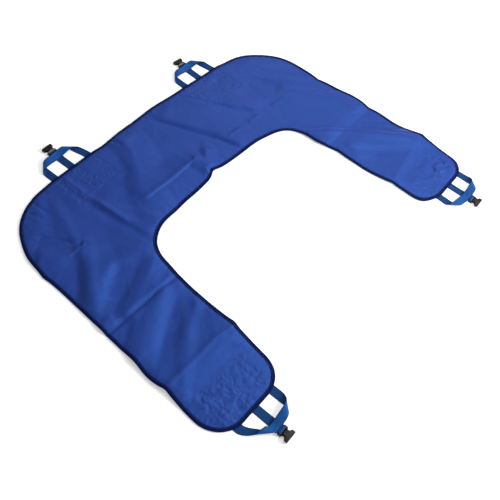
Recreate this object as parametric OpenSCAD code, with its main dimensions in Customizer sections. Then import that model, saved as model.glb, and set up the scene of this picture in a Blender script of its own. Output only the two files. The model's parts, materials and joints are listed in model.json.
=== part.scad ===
// U-shaped patient transfer sling: a bound three-layer panel with a back band and two legs, and four
// webbing handles. Each handle has an arched loop, a centre strap and the socket half of a
// side-release buckle. It lies flat, face up.
// Millimetres. +Z is up, +Y points to the back edge and -Y to the ends of the legs. The origin is
// the centre of the bounding box at its base. Left is -X, seen from above with the back edge away.

/* [Panel outline] */
// Half width at the back's outer corners, before they are rounded
back_half = 570; // [550:1:590]
// How far each leg leans outwards between the back and its end
splay = 37; // [10:1:50]
// Width of each leg
leg_w = 244; // [220:1:260]
// Length from the crown of the back edge to the ends of the legs
panel_l = 870; // [840:1:900]
// Depth of the back band at its middle
back_d = 324; // [300:1:350]
// How far the back edge bows out at its middle
crown = 21; // [5:1:25]
// Radius of the back's outer corners
outer_r = 190; // [150:1:195]
// Radius of the corners between the back and the legs
inner_r = 135; // [100:1:150]
// Radius of the corners at the ends of the legs
end_r = 80; // [60:1:85]
// Distance from the crown to the line where the legs fold
fold_d = 472; // [465:1:500]
// Gap left in the panel at each fold line
fold_gap = 8; // [8:1:12]

/* [Layers] */
// Thickness of the face fabric and of the backing fabric
fabric_t = 0.6; // [0.4:0.1:0.8]
// Thickness of the foam interlining
foam_t = 1.4; // [1.0:0.1:2.0]
// Thickness of the binding tape
tape_t = 0.6; // [0.4:0.1:0.8]
// Width of the binding tape seen on each face
tape_w = 11; // [9:1:14]

/* [Webbing] */
// Width of the webbing
web_w = 25; // [24:0.5:25.4]
// Thickness of the webbing
web_t = 1.6; // [1.4:0.1:1.6]
// Distance from the centre strap to each leg of the arched loop
loop_u = 64; // [60:1:66]
// Where the loop's legs start to roll over, measured out from the panel's edge
roll_v = 45.4; // [44:0.1:46]
// Radius of the soft fold at the loop's corners
roll_r = 5; // [5:0.1:5.5]
// Angle by which the loop's crossing part rises towards its middle
loop_rise = 5; // [4:0.5:6]
// Length of the webbing sewn under the panel
tail_l = 120; // [100:1:130]

/* [Handle places] */
// Distance from the middle to each handle on the back edge
back_handle_x = 278; // [275:1:281]
// Distance from the middle to each handle at the end of a leg
leg_handle_x = 484; // [482:1:486]

/* [Buckle socket] */
// Distance from the panel's edge to the buckle's bar
bar_v = 78; // [78:0.5:80]
// Radius of the bar that the centre strap turns round
bar_r = 2.2; // [2.0:0.1:2.2]
// Distance from the panel's edge to the socket's mouth
mouth_v = 110; // [109:1:113]
// Width of the socket at its mouth
mouth_w = 36; // [35:1:37]
// Width of the socket at its waist
waist_w = 24; // [22:1:25]
// Height of the socket
socket_h = 11; // [10.8:0.1:12]

/* [Hidden] */
STATIONS = ["back_left", "back_right", "leg_left", "leg_right"];
$fn = 48;

royal = [0.18, 0.29, 0.62];
navy = [0.09, 0.11, 0.38];
webbing_blue = [0.14, 0.3, 0.6];
thread_blue = [0.3, 0.42, 0.78];
foam_white = [0.85, 0.85, 0.82];
black = [0.08, 0.08, 0.08];

// Heights of the layers, from the floor up
patch_z = web_t;
backing_z = web_t + tape_t;
foam_z = backing_z + fabric_t;
face_z = foam_z + foam_t;
panel_top = face_z + fabric_t;
binding_top = panel_top + tape_t;

// Where the handles meet the panel: the back edge is straight from 190 to 370 mm out
crown_xs = [190, 370];
function crown_drop(x) = crown * pow(x / back_half, 2);
back_tilt = atan((crown_drop(crown_xs[1]) - crown_drop(crown_xs[0])) / (crown_xs[1] - crown_xs[0]));
back_handle_drop = crown_drop(crown_xs[0]) + (back_handle_x - crown_xs[0]) * tan(back_tilt);

// The sling reaches mouth_v past the panel at both ends, so this height centres its box
back_reach = mouth_v * cos(back_tilt) + mouth_w / 2 * sin(back_tilt) - back_handle_drop;
crown_y = (panel_l + mouth_v - back_reach) / 2;
end_y = crown_y - panel_l;
inner_y = crown_y - back_d;
fold_y = crown_y - fold_d;
leg_half = back_half + splay;

// A handle turns about a line just outside the binding, level with the panel. Its webbing starts
// a little outside that line, and the tails sewn under the panel stop a little inside it.
hinge_v = 1.5;
hinge_gap = 0.5;
root_v = hinge_v + hinge_gap;
bar_z = bar_r + 0.1 + web_t;

function unit(v) = v / norm(v);
function side(v) = [-v.y, v.x];
function turn_of(a, b) = a.x * b.y - a.y * b.x;
function xy(p) = [p.x, p.y];

// Corners of the panel, counter-clockwise, each [x, y, radius]
function back_edge() = [for (x = [crown_xs[1], crown_xs[0], 0, -crown_xs[0], -crown_xs[1]])
    [x, crown_y - crown_drop(x), 0]];
outline = concat(back_edge(), [
    [-back_half, crown_y - crown, outer_r],
    [-leg_half, end_y, end_r],
    [-leg_half + leg_w, end_y, end_r],
    [-back_half + leg_w, inner_y, inner_r],
    [back_half - leg_w, inner_y, inner_r],
    [leg_half - leg_w, end_y, end_r],
    [leg_half, end_y, end_r],
    [back_half, crown_y - crown, outer_r]
]);

// The same corners, moved inwards by d
function inset(pts, d) = [for (i = [0:len(pts) - 1])
    let (
        p = xy(pts[i]),
        before = unit(p - xy(pts[(i + len(pts) - 1) % len(pts)])),
        after = unit(xy(pts[(i + 1) % len(pts)]) - p),
        n1 = side(before),
        n2 = side(after),
        q = p + d * (n1 + n2) / (1 + n1 * n2),
        r = pts[i][2]
    )
    [q.x, q.y, r == 0 ? 0 : r - d * sign(turn_of(before, after))]];

arc_steps = 14;
function fillet(a, p, b, r) = r == 0 ? [p] :
    let (
        u = unit(a - p),
        w = unit(b - p),
        half = acos(u * w) / 2,
        centre = p + unit(u + w) * r / sin(half),
        start = p + u * r / tan(half) - centre,
        stop = p + w * r / tan(half) - centre,
        first = atan2(start.y, start.x),
        sweep = sign(turn_of(start, stop)) * acos(start * stop / (r * r))
    )
    [for (k = [0:arc_steps]) centre + r * [cos(first + sweep * k / arc_steps), sin(first + sweep * k / arc_steps)]];

function rounded(pts) = [for (i = [0:len(pts) - 1])
    each fillet(xy(pts[(i + len(pts) - 1) % len(pts)]), xy(pts[i]), xy(pts[(i + 1) % len(pts)]), pts[i][2])];

module slab(d, z, h) {
    translate([0, 0, z])
        linear_extrude(h)
            polygon(rounded(inset(outline, d)));
}

// The part of the panel that belongs to the back or to one leg
module zone(name) {
    reach = 800;
    x0 = name == "right_leg" ? 0 : -reach;
    w = name == "back" ? 2 * reach : reach;
    y0 = name == "back" ? fold_y + fold_gap / 2 : fold_y - fold_gap / 2 - reach;
    translate([x0, y0, -1])
        cube([w, reach, 2 * binding_top]);
}

module face_fabric(name) {
    color(royal)
        intersection() {
            slab(0, face_z, fabric_t);
            zone(name);
        }
}

module foam(name) {
    color(foam_white)
        intersection() {
            slab(1, foam_z, foam_t);
            zone(name);
        }
}

module backing_fabric(name) {
    color(royal * 0.8)
        intersection() {
            slab(0, backing_z, fabric_t);
            zone(name);
        }
}

// Tape folded round the rim: a lip on each face and a wall between them
module edge_binding(name) {
    color(navy)
        intersection() {
            difference() {
                slab(-tape_t, backing_z - tape_t, binding_top - backing_z + tape_t);
                slab(0, backing_z, panel_top - backing_z);
                slab(tape_w, 0, 2 * binding_top);
            }
            zone(name);
        }
}

// Puts a handle's pieces in place: u runs along the panel's edge, v outwards from it
module at_station(name) {
    left = name == "back_left" || name == "leg_left";
    on_back = name == "back_left" || name == "back_right";
    x = on_back ? back_handle_x : leg_handle_x;
    y = on_back ? crown_y - back_handle_drop : end_y;
    turn = on_back ? (left ? back_tilt : -back_tilt) : 180;
    translate([left ? -x : x, y, 0])
        rotate(turn)
            children();
}

module strap_tails() {
    color(webbing_blue)
        for (u = [-loop_u, 0, loop_u])
            translate([u - web_w / 2, -tail_l, 0])
                cube([web_w, tail_l + hinge_v - hinge_gap, web_t]);
}

// Reinforcing fabric between the tails and the backing, inside the binding's lip
patch_w = 196;
module anchor_patch(name) {
    color(royal * 0.7)
        intersection() {
            at_station(name)
                translate([-patch_w / 2, -tail_l - 6, patch_z])
                    cube([patch_w, tail_l + 6, tape_t]);
            slab(tape_w + 1, patch_z, tape_t);
        }
}

// A sewn box with a cross in it
thread_w = 0.9;
thread_h = 0.4;
module sewn_box(w, l) {
    diagonal = norm([w, l]);
    linear_extrude(thread_h) {
        difference() {
            square([w, l], center = true);
            square([w - 2 * thread_w, l - 2 * thread_w], center = true);
        }
        intersection() {
            square([w, l], center = true);
            union() {
                for (s = [-1, 1])
                    rotate(s * atan2(w, l))
                        square([thread_w, diagonal], center = true);
            }
        }
    }
}

stitch_l = 62;
module tail_stitching() {
    color(thread_blue)
        for (u = [-loop_u, 0, loop_u])
            translate([u, -tail_l + 8 + stitch_l / 2, panel_top])
                sewn_box(web_w - 6, stitch_l);
}

// The arched loop is one flat strip whose legs roll over a slanted line, as a soft mitred fold.
// s runs along the strip from its root and w across it, with w > 0 on the outside.
rise_dir = [-cos(loop_rise), sin(loop_rise)];
crease = unit([0, 1] + rise_dir);
over = [crease.y, -crease.x];
roll_at = [loop_u, roll_v];
roll_len = PI * roll_r;
mid_z = web_t / 2;
mid_v = roll_v + roll_len * crease.y + (loop_u + roll_len * crease.x) * tan(loop_rise);
slant = crease.y / -crease.x;

// Where the loop's crossing part rests on the centre strap
bed_low = 2.5 * web_t + 0.1;
bed_slope = 0.146;
bed_half = 14;
bed_end = 42;
function ease(t) = let (c = max(0, min(1, t))) c * c * (3 - 2 * c);
function settle(p) =
    let (
        k = ease((bed_end - abs(p.x)) / (bed_end - bed_half)),
        bed = bed_low + (p.y - mid_v + web_w / 2) * bed_slope
    )
    [p.x, p.y, p.z + k * (bed - p.z)];

function strip(s, w) =
    let (
        flat = [loop_u + w, root_v + s] - roll_at,
        along = flat * crease,
        past = flat * over,
        swing = past / roll_r * 180 / PI,
        q = past <= 0 ? roll_at + flat
            : past <= roll_len ? roll_at + along * crease + roll_r * sin(swing) * over
            : roll_at + along * crease - (past - roll_len) * over,
        z = past <= 0 ? 0 : past <= roll_len ? roll_r * (1 - cos(swing)) : 2 * roll_r
    )
    past <= roll_len ? [q.x, q.y, mid_z + z] : settle([q.x, q.y, mid_z + z]);

// Straight lines across the strip, each [s at its middle, slant], from the root to the middle
leg_s = roll_v - root_v;
roll_s = roll_len / over.y;
half_s = leg_s + roll_s + (loop_u + roll_len * crease.x) / cos(loop_rise);
roll_steps = 12;
cross_steps = 10;
rulings = concat(
    [[0, 0], [leg_s * 0.45, slant * 0.6]],
    [for (k = [0:roll_steps]) [leg_s + roll_s * k / roll_steps, slant]],
    [for (k = [1:cross_steps])
        let (t = k / cross_steps)
        [leg_s + roll_s + (half_s - leg_s - roll_s) * t, slant * (1 - ease(t * 2))]]
);

function ruling_ring(line) =
    let (
        hw = web_w / 2,
        step = 0.05,
        inner_s = line[0] + line[1] * hw,
        outer_s = line[0] - line[1] * hw,
        a = strip(inner_s, -hw),
        b = strip(outer_s, hw),
        ahead = strip((inner_s + outer_s) / 2 - step, 0) - strip((inner_s + outer_s) / 2 + step, 0),
        n = unit(cross(b - a, ahead)) * web_t / 2
    )
    [a - n, b - n, b + n, a + n];

function mirrored(ring) = [for (p = ring) [-p.x, p.y, p.z]];

module tube(rings) {
    n = len(rings[0]);
    last = len(rings) - 1;
    points = [for (r = rings) each r];
    sides = [for (i = [0:last - 1], k = [0:n - 1])
        [i * n + k, i * n + (k + 1) % n, (i + 1) * n + (k + 1) % n, (i + 1) * n + k]];
    start = [for (k = [n - 1:-1:0]) k];
    stop = [for (k = [0:n - 1]) last * n + k];
    polyhedron(points, concat([start], sides, [stop]), convexity = 6);
}

module handle_loop() {
    half = [for (line = rulings) ruling_ring(line)];
    count = len(half);
    other = [for (i = [count - 2:-1:0]) mirrored(half[i])];
    color(webbing_blue)
        tube(concat(half, other));
}

// One strap: out along the floor, round the buckle's bar and back on top of itself
ply_end_v = 47;
ply_down_v = 60;
module centre_strap() {
    eye_r = bar_z;
    color(webbing_blue)
        translate([-web_w / 2, 0, 0])
            rotate([90, 0, 90])
                linear_extrude(web_w)
                    union() {
                        translate([root_v, 0])
                            square([bar_v - root_v, web_t]);
                        polygon([
                            [ply_end_v, web_t], [ply_down_v, web_t], [bar_v, 2 * eye_r - web_t],
                            [bar_v, 2 * eye_r], [ply_down_v - 1, 2 * web_t], [ply_end_v, 2 * web_t]
                        ]);
                        difference() {
                            translate([bar_v, bar_z])
                                circle(eye_r);
                            translate([bar_v, bar_z])
                                circle(eye_r - web_t);
                            translate([0, -1])
                                square([bar_v, 4 * eye_r]);
                        }
                    }
}

// Rows of dense stitching that hold the loop to the centre strap
tack_l = 20;
tack_w = 1.8;
module bartacks() {
    color(thread_blue)
        translate([0, mid_v, bed_low + web_w / 2 * bed_slope])
            rotate([atan(bed_slope), 0, 0])
                for (w = [-8, 8])
                    translate([-tack_l / 2, w - tack_w / 2, web_t / 2 + 0.02])
                        cube([tack_l, tack_w, 0.5]);
}

// Socket half of the buckle. Its bar end is open round the bar, its mouth faces outwards.
arm_w = 4.2;
arm_r = 3.5;
slot_v = bar_v + bar_r + 3.4;
notch_r = 9;
notch_v = mouth_v - 15;
cavity_w = 29;
cavity_h = socket_h - 4;
module socket_plan() {
    difference() {
        translate([-mouth_w / 2, slot_v])
            square([mouth_w, mouth_v - slot_v]);
        for (s = [-1, 1])
            translate([s * (waist_w / 2 + notch_r), notch_v])
                circle(notch_r);
    }
}

module socket_side() {
    polygon([
        [slot_v, 0.6], [slot_v + 0.6, 0], [mouth_v - 0.8, 0], [mouth_v, 0.8],
        [mouth_v, socket_h - 0.8], [mouth_v - 0.8, socket_h], [slot_v + 9, socket_h],
        [slot_v + 0.8, 8.4], [slot_v, 7.6]
    ]);
}

module buckle_socket() {
    floor_z = 2;
    color(black)
        union() {
            difference() {
                intersection() {
                    linear_extrude(socket_h)
                        socket_plan();
                    translate([-mouth_w, 0, 0])
                        rotate([90, 0, 90])
                            linear_extrude(2 * mouth_w)
                                socket_side();
                }
                translate([-cavity_w / 2, slot_v + 2.4, floor_z])
                    cube([cavity_w, mouth_v, cavity_h]);
                translate([-cavity_w / 2 - 0.8, mouth_v - 1, floor_z - 0.5])
                    cube([cavity_w + 1.6, 2, cavity_h + 1]);
            }
            // Guide rib for the plug's tongue
            translate([-1.5, slot_v + 2, floor_z - 0.5])
                cube([3, 16, 1.5]);
            // Arms that carry the bar
            for (s = [-1, 1])
                translate([s * (mouth_w / 2 - 0.5 - arm_w / 2) - arm_w / 2, 0, 0]) {
                    translate([0, bar_v, bar_z])
                        rotate([0, 90, 0])
                            cylinder(r = arm_r, h = arm_w);
                    translate([0, bar_v, bar_z - arm_r])
                        cube([arm_w, slot_v + 1 - bar_v, 2 * arm_r]);
                }
            translate([-mouth_w / 2 + 2, bar_v, bar_z])
                rotate([0, 90, 0])
                    cylinder(r = bar_r, h = mouth_w - 4);
        }
}

for (name = ["back", "left_leg", "right_leg"]) {
    face_fabric(name);
    foam(name);
    backing_fabric(name);
    edge_binding(name);
}
for (name = STATIONS) {
    anchor_patch(name);
    at_station(name) strap_tails();
    at_station(name) tail_stitching();
    at_station(name) handle_loop();
    at_station(name) centre_strap();
    at_station(name) bartacks();
    at_station(name) buckle_socket();
}
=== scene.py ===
import json
import math

import bmesh
import bpy
import numpy as np
from mathutils import Matrix, Vector, noise
from mathutils.bvhtree import BVHTree
from mathutils.geometry import delaunay_2d_cdt
from mathutils.kdtree import KDTree


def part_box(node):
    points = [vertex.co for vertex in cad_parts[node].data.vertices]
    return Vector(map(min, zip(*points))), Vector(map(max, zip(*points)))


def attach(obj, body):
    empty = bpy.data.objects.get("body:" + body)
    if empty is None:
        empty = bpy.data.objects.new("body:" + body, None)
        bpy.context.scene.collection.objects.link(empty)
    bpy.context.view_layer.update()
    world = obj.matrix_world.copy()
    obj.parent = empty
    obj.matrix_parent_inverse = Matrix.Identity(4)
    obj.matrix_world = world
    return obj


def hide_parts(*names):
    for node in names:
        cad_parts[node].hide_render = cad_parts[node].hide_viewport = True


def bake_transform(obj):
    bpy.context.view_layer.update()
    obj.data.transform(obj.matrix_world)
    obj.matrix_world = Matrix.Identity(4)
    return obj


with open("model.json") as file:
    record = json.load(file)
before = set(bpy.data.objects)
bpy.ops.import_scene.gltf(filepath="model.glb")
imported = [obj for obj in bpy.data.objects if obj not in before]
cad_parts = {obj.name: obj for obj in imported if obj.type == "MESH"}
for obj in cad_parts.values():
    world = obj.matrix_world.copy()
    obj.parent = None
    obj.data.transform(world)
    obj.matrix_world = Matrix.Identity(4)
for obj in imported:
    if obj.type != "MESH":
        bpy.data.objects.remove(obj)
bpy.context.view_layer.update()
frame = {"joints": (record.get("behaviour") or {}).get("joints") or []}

MM = 0.001
SEED = 7
# Without this, Blender seeds its noise vectors from the clock
noise.seed_set(SEED)
SIDES = ("left", "right")
# The four handles, and the body that each is sewn to
BODIES = {"back_left": "back", "back_right": "back", "leg_left": "left_leg", "leg_right": "right_leg"}
STATIONS = tuple(BODIES)

# ---------------------------------------------------------------- sizes

# The panel's outline, as it was cut
BACK_HALF, LEG_HALF, LEG_W = 570 * MM, 607 * MM, 244 * MM
OUTER_R, INNER_R, END_R = 190 * MM, 135 * MM, 80 * MM
CROWN, CROWN_END = 21 * MM, 370 * MM
BACK_DEPTH = 324 * MM
crown_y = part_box("back_face_fabric")[1].y
end_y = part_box("left_leg_face_fabric")[0].y
inner_y = crown_y - BACK_DEPTH

# The panel's thickness in the open, where the binding's stitches squeeze it, and at the least
LOFT, SQUEEZED, THINNEST = 3.4 * MM, 1.7 * MM, 1.55 * MM
FABRIC_T = 0.6 * MM
TAPE_T, TAPE_W, TAPE_GAP = 0.6 * MM, 9.2 * MM, 0.06 * MM
# The panel's rings of points, by their distance from its edge. One is the binding's seam.
RING_DEPTHS = tuple(d * MM for d in (0, 2, 4.5, 7, 9.2, 11.5, 14, 17))
STITCH_D = 7 * MM
SEAM_RING = RING_DEPTHS.index(STITCH_D)

# Height of the panel's middle surface where it lies on the floor, and the highest it stands
BASE, HIGHEST = LOFT / 2 + 0.2 * MM, 17 * MM
# Share of the cloth's own settling that is added to the placed creases, in plan and in height, and
# the furthest that it may move a point in plan
SETTLED, SETTLED_IN_PLAN = 0.25, 0.5
FURTHEST = 6 * MM

# A handle's own frame has u along the panel's edge and v outwards from the edge
WEB_W, WEB_T = 25 * MM, 1.6 * MM
LOOP_U, TAIL_L = 64 * MM, 120 * MM
TAILS_U = (-LOOP_U, 0, LOOP_U)
HINGE_V, ROOT_V, MID_V = 1.5 * MM, 2 * MM, 59.8 * MM
BAR_V, BAR_R = 78 * MM, 2.2 * MM
BAR_Z = BAR_R + 0.1 * MM + WEB_T


# ---------------------------------------------------------------- small helpers

def unit(v):
    v = np.asarray(v, float)
    return v / np.maximum(np.linalg.norm(v, axis=-1, keepdims=True), 1e-12)


def ease(t):
    t = np.clip(t, 0, 1)
    return t * t * (3 - 2 * t)


def bell(d, width):
    return np.exp(-((d / width) ** 2))


def run_length(line):
    """The length along a line of points, up to each point."""
    return np.concatenate([[0], np.cumsum(np.linalg.norm(np.diff(line, axis=0), axis=1))])


def plan_tree(points):
    """A search tree over points in plan."""
    tree = KDTree(len(points))
    for i, p in enumerate(points):
        tree.insert((p[0], p[1], 0), i)
    tree.balance()
    return tree


def noise_places(points, scale, seed):
    """Where points in plan fall in a noise whose features are about scale apart."""
    shift = Vector((seed * 17.3, seed * 5.1, seed * 9.7))
    return [Vector((p[0], p[1], 0)) / scale + shift for p in points]


def wave(points, scale, seed):
    """Smooth noise from -1 to 1."""
    return np.array([noise.noise(at) for at in noise_places(points, scale, seed)])


def facets(points, scale, seed):
    """Crumpled cells: each tips its own way, and comes back to 0 where it meets the next."""
    found = []
    for at in noise_places(points, scale, seed):
        distances, centres = noise.voronoi(at)
        tip = noise.noise_vector(centres[0] * 7.3)
        found.append((at - centres[0]).dot(tip) * min(1, (distances[1] - distances[0]) / 0.3))
    return np.array(found)


def to_segments(points, chain):
    """For each point, its distance from a chain, the side it is on and its share of the chain."""
    chain = np.asarray(chain, float)
    best = np.full(len(points), np.inf)
    side = np.zeros(len(points))
    share = np.zeros(len(points))
    lengths = np.linalg.norm(np.diff(chain, axis=0), axis=1)
    before = run_length(chain)
    for i, (a, b) in enumerate(zip(chain[:-1], chain[1:])):
        t = np.clip(((points - a) @ (b - a)) / lengths[i] ** 2, 0, 1)
        gap = points - (a + t[:, None] * (b - a))
        d = np.linalg.norm(gap, axis=1)
        closer = d < best
        best = np.where(closer, d, best)
        turn = np.sign((b - a)[0] * gap[:, 1] - (b - a)[1] * gap[:, 0])
        side = np.where(closer, turn, side)
        share = np.where(closer, (before[i] + t * lengths[i]) / before[-1], share)
    return best, side, share


def new_object(name, verts, faces, smooth=True):
    mesh = bpy.data.meshes.new(name)
    mesh.from_pydata([tuple(v) for v in verts], [], [tuple(int(i) for i in f) for f in faces])
    mesh.validate()
    obj = bpy.data.objects.new(name, mesh)
    bpy.context.scene.collection.objects.link(obj)
    if smooth:
        mesh.shade_smooth()
    return obj


def square(name, half):
    """A flat square on the floor."""
    corners = [(x, y, 0) for x, y in ((-half, -half), (half, -half), (half, half), (-half, half))]
    return new_object(name, corners, [(0, 1, 2, 3)], False)


def tube_faces(rings, around, first=0):
    """Faces of a tube with closed ends, whose points go round one ring after another."""
    faces = []
    for i in range(rings - 1):
        a = first + i * around
        b = a + around
        faces += [(a + k, a + (k + 1) % around, b + (k + 1) % around, b + k) for k in range(around)]
    last = first + (rings - 1) * around
    faces.append(tuple(first + k for k in range(around - 1, -1, -1)))
    faces.append(tuple(last + k for k in range(around)))
    return faces


# ---------------------------------------------------------------- outline and panel mesh

def fillet(a, p, b, r, steps=36):
    """Points of the arc that rounds the corner p between a and b."""
    u, w = unit(a - p), unit(b - p)
    half = math.acos(float(u @ w)) / 2
    centre = p + unit(u + w) * r / math.sin(half)
    start, stop = p + u * r / math.tan(half) - centre, p + w * r / math.tan(half) - centre
    first = math.atan2(start[1], start[0])
    turn = math.atan2(start[0] * stop[1] - start[1] * stop[0], float(start @ stop))
    angles = first + turn * np.linspace(0, 1, steps)
    return centre + r * np.stack([np.cos(angles), np.sin(angles)], 1)


def half_outline(step):
    """The left half of the panel's edge, from the middle of the back edge to that of the inner edge."""
    xs = np.linspace(0, -CROWN_END, 40)
    back = np.stack([xs, crown_y - CROWN * (xs / BACK_HALF) ** 2], 1)
    corners = np.array([
        back[-1],
        (-BACK_HALF, crown_y - CROWN),
        (-LEG_HALF, end_y),
        (-LEG_HALF + LEG_W, end_y),
        (-BACK_HALF + LEG_W, inner_y),
        (0, inner_y),
    ])
    radii = (OUTER_R, END_R, END_R, INNER_R)
    arcs = [fillet(corners[i], corners[i + 1], corners[i + 2], r) for i, r in enumerate(radii)]
    line = np.concatenate([back, *arcs, corners[-1:]])
    length = run_length(line)
    s = np.linspace(0, length[-1], round(length[-1] / step) + 1)
    points = np.stack([np.interp(s, length, line[:, k]) for k in (0, 1)], 1)
    along = unit(np.gradient(points, axis=0))
    along[0], along[-1] = (-1, 0), (1, 0)
    return points, np.stack([-along[:, 1], along[:, 0]], 1), s


def handle_frame(name):
    """A handle's own frame in plan: its origin on the panel's edge, and the directions of u and v."""
    if name.startswith("leg"):
        low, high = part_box(f"{name}_buckle_socket")
        x, y, turn = (low.x + high.x) / 2, end_y, math.pi
    else:
        joint = next(j for j in frame["joints"] if j["name"] == f"{name}_handle_fold")
        axis = joint["axis"]
        turn = math.atan2(axis[1], axis[0])
        x = joint["pos_m"][0] + HINGE_V * math.sin(turn)
        y = joint["pos_m"][1] - HINGE_V * math.cos(turn)
    c, s = math.cos(turn), math.sin(turn)
    return np.array([x, y]), np.array([c, s]), np.array([-s, c])


handle_frames = {name: handle_frame(name) for name in STATIONS}


def place(name, u, v):
    """Points of a handle's own frame, in plan."""
    origin, right, out = handle_frames[name]
    return origin + np.multiply.outer(u, right) + np.multiply.outer(v, out)


def local(name, points):
    """Points in plan, in a handle's own frame."""
    origin, right, out = handle_frames[name]
    p = points[:, :2] - origin
    return p @ right, p @ out


def inside(points, polygon):
    """Which points lie inside a polygon."""
    found = np.zeros(len(points), bool)
    for a, b in zip(polygon, np.roll(polygon, -1, axis=0)):
        crosses = (a[1] > points[:, 1]) != (b[1] > points[:, 1])
        if crosses.any():
            x = a[0] + (points[crosses, 1] - a[1]) / (b[1] - a[1]) * (b[0] - a[0])
            found[crosses] ^= points[crosses, 0] < x
    return found


def lattice(polygon, step, keep_off, wanted, rng):
    """Points of a jittered triangular grid inside a polygon, off its edge and where they are wanted."""
    low, high = polygon.min(0), polygon.max(0)
    rows = []
    for i, y in enumerate(np.arange(low[1], high[1], step * math.sqrt(0.75))):
        xs = np.arange(low[0] + (i % 2) * step / 2, high[0], step)
        rows.append(np.stack([xs, np.full(len(xs), y)], 1))
    points = np.concatenate(rows)
    points = points + rng.uniform(-0.12, 0.12, points.shape) * step
    points = points[wanted(points)]
    points = points[inside(points, polygon)]
    tree = plan_tree(polygon)
    far = np.array([tree.find((p[0], p[1], 0))[2] for p in points]) > keep_off
    return points[far]


def finely_meshed(points):
    """Where the panel needs a finer mesh: over the sewn tails and along the sharp creases."""
    found = np.zeros(len(points), bool)
    for chain, *_ in LINES:
        found |= to_segments(points, np.array(chain) * MM)[0] < 13 * MM
    for name in STATIONS:
        u, v = local(name, points)
        found |= (np.abs(u) < 92 * MM) & (v > -TAIL_L - 8 * MM)
    return found


def panel_plan(edge_step, ring_depths, step, fine_step=None):
    """The panel's points, faces and rings in plan. Its halves mirror each other."""
    rng = np.random.default_rng(SEED)
    edge, inward, s = half_outline(edge_step)
    rings = [edge + inward * d for d in ring_depths]
    for ring in rings:
        ring[0, 0] = ring[-1, 0] = 0
    last = rings[-1]
    count = round((last[0, 1] - last[-1, 1]) / step)
    middle_y = np.linspace(last[-1, 1], last[0, 1], count + 1)[1:-1]
    polygon = np.concatenate([last, np.stack([np.zeros(count - 1), middle_y], 1)])

    def on_left(p):
        return p[:, 0] < -0.4 * step

    if fine_step is None:
        inner = lattice(polygon, step, 0.6 * step, on_left, rng)
    else:
        coarse = lattice(polygon, step, 0.6 * step, lambda p: on_left(p) & ~finely_meshed(p), rng)
        fine = lattice(polygon, fine_step, 0.7 * fine_step, finely_meshed, rng)
        inner = np.concatenate([coarse, fine])
    given = np.concatenate([polygon, inner])
    n = len(polygon)
    border = [(i, (i + 1) % n) for i in range(n)]
    verts, _, faces, *_ = delaunay_2d_cdt([Vector(p) for p in given], border, [], 1, 1e-9)
    verts = np.array([tuple(v) for v in verts])
    if len(verts) != len(given) or np.abs(verts - given).max() > 1e-7:
        raise ValueError("the triangulation changed the panel's points")
    outer = np.concatenate(rings[:-1])
    half = np.concatenate([outer, given])
    index = np.arange(len(rings) * len(edge)).reshape(len(rings), len(edge))
    half_faces = [tuple(i + len(outer) for i in f) for f in faces]
    for a, b in zip(index[:-1], index[1:]):
        half_faces += [(a[j], a[j + 1], b[j + 1], b[j]) for j in range(len(edge) - 1)]
    on_middle = len(outer) + len(edge) + np.arange(count - 1)
    centre = np.concatenate([index[:, -1], on_middle, index[::-1, 0]])
    shared = np.zeros(len(half), bool)
    shared[centre] = True
    twin = np.arange(len(half))
    twin[~shared] = len(half) + np.arange((~shared).sum())
    return {
        "points": np.concatenate([half, half[~shared] * (-1, 1)]),
        "faces": {"left": half_faces, "right": [tuple(twin[i] for i in reversed(f)) for f in half_faces]},
        "rings": {"left": index, "right": twin[index]},
        "centre": centre,
        "s": s,
    }


# ---------------------------------------------------------------- how it lies

# Creases left by packing, in mm: a chain of points along the crest, how high it stands (a groove is
# negative), how far it spreads to the left and to the right of the chain, and how round its tip is.
# The swells are broad, and the lines sharp.
SWELLS = (
    # left leg and its root
    (((-605, -238), (-506, -243), (-414, -241), (-335, -256)), 12, (88, 62), 3),
    (((-530, -38), (-475, -22), (-410, 4), (-328, 42)), 7, (34, 34), 3),
    (((-605, -10), (-545, -14)), 4, (22, 24), 2),
    (((-608, -152), (-480, -72), (-380, -36)), 9, (40, 48), 3),
    (((-470, -194), (-352, -130)), 4.5, (26, 28), 2.5),
    (((-560, 262), (-515, 222), (-452, 196)), 6.5, (46, 40), 3),
    (((-440, 203), (-468, 150), (-555, 52)), 7, (62, 32), 3),
    (((-560, 50), (-485, 92), (-435, 110), (-390, 96), (-326, 58)), 5, (36, 26), 3),
    # back, left of the middle
    (((-318, 425), (-318, 300), (-305, 200), (-296, 95)), 5, (75, 14), 2),
    (((-98, 437), (-118, 345), (-165, 275), (-205, 220), (-265, 95)), 8, (72, 42), 4),
    (((-230, 196), (-116, 194), (-10, 197)), 6, (60, 60), 3),
    (((-8, 202), (-2, 165), (4, 125)), 10, (24, 28), 2.5),
    (((52, 208), (24, 168), (6, 132)), 5, (34, 14), 2),
    # back, right of the middle
    (((45, 405), (122, 235), (152, 130)), 4.5, (70, 20), 3),
    (((200, 380), (255, 270), (305, 190)), 3.5, (60, 18), 3),
    (((430, 225), (520, 80), (595, -50)), 5, (48, 95), 6),
    # right leg
    (((340, -28), (460, -24), (600, -26)), 2.5, (42, 32), 5),
    (((332, 45), (430, -60), (500, -130), (600, -257)), 5, (16, 75), 2),
    (((375, -103), (470, -132), (595, -250)), 7.5, (30, 70), 4),
    (((360, -297), (480, -276), (610, -255)), 5, (72, 60), 4),
)
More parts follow.
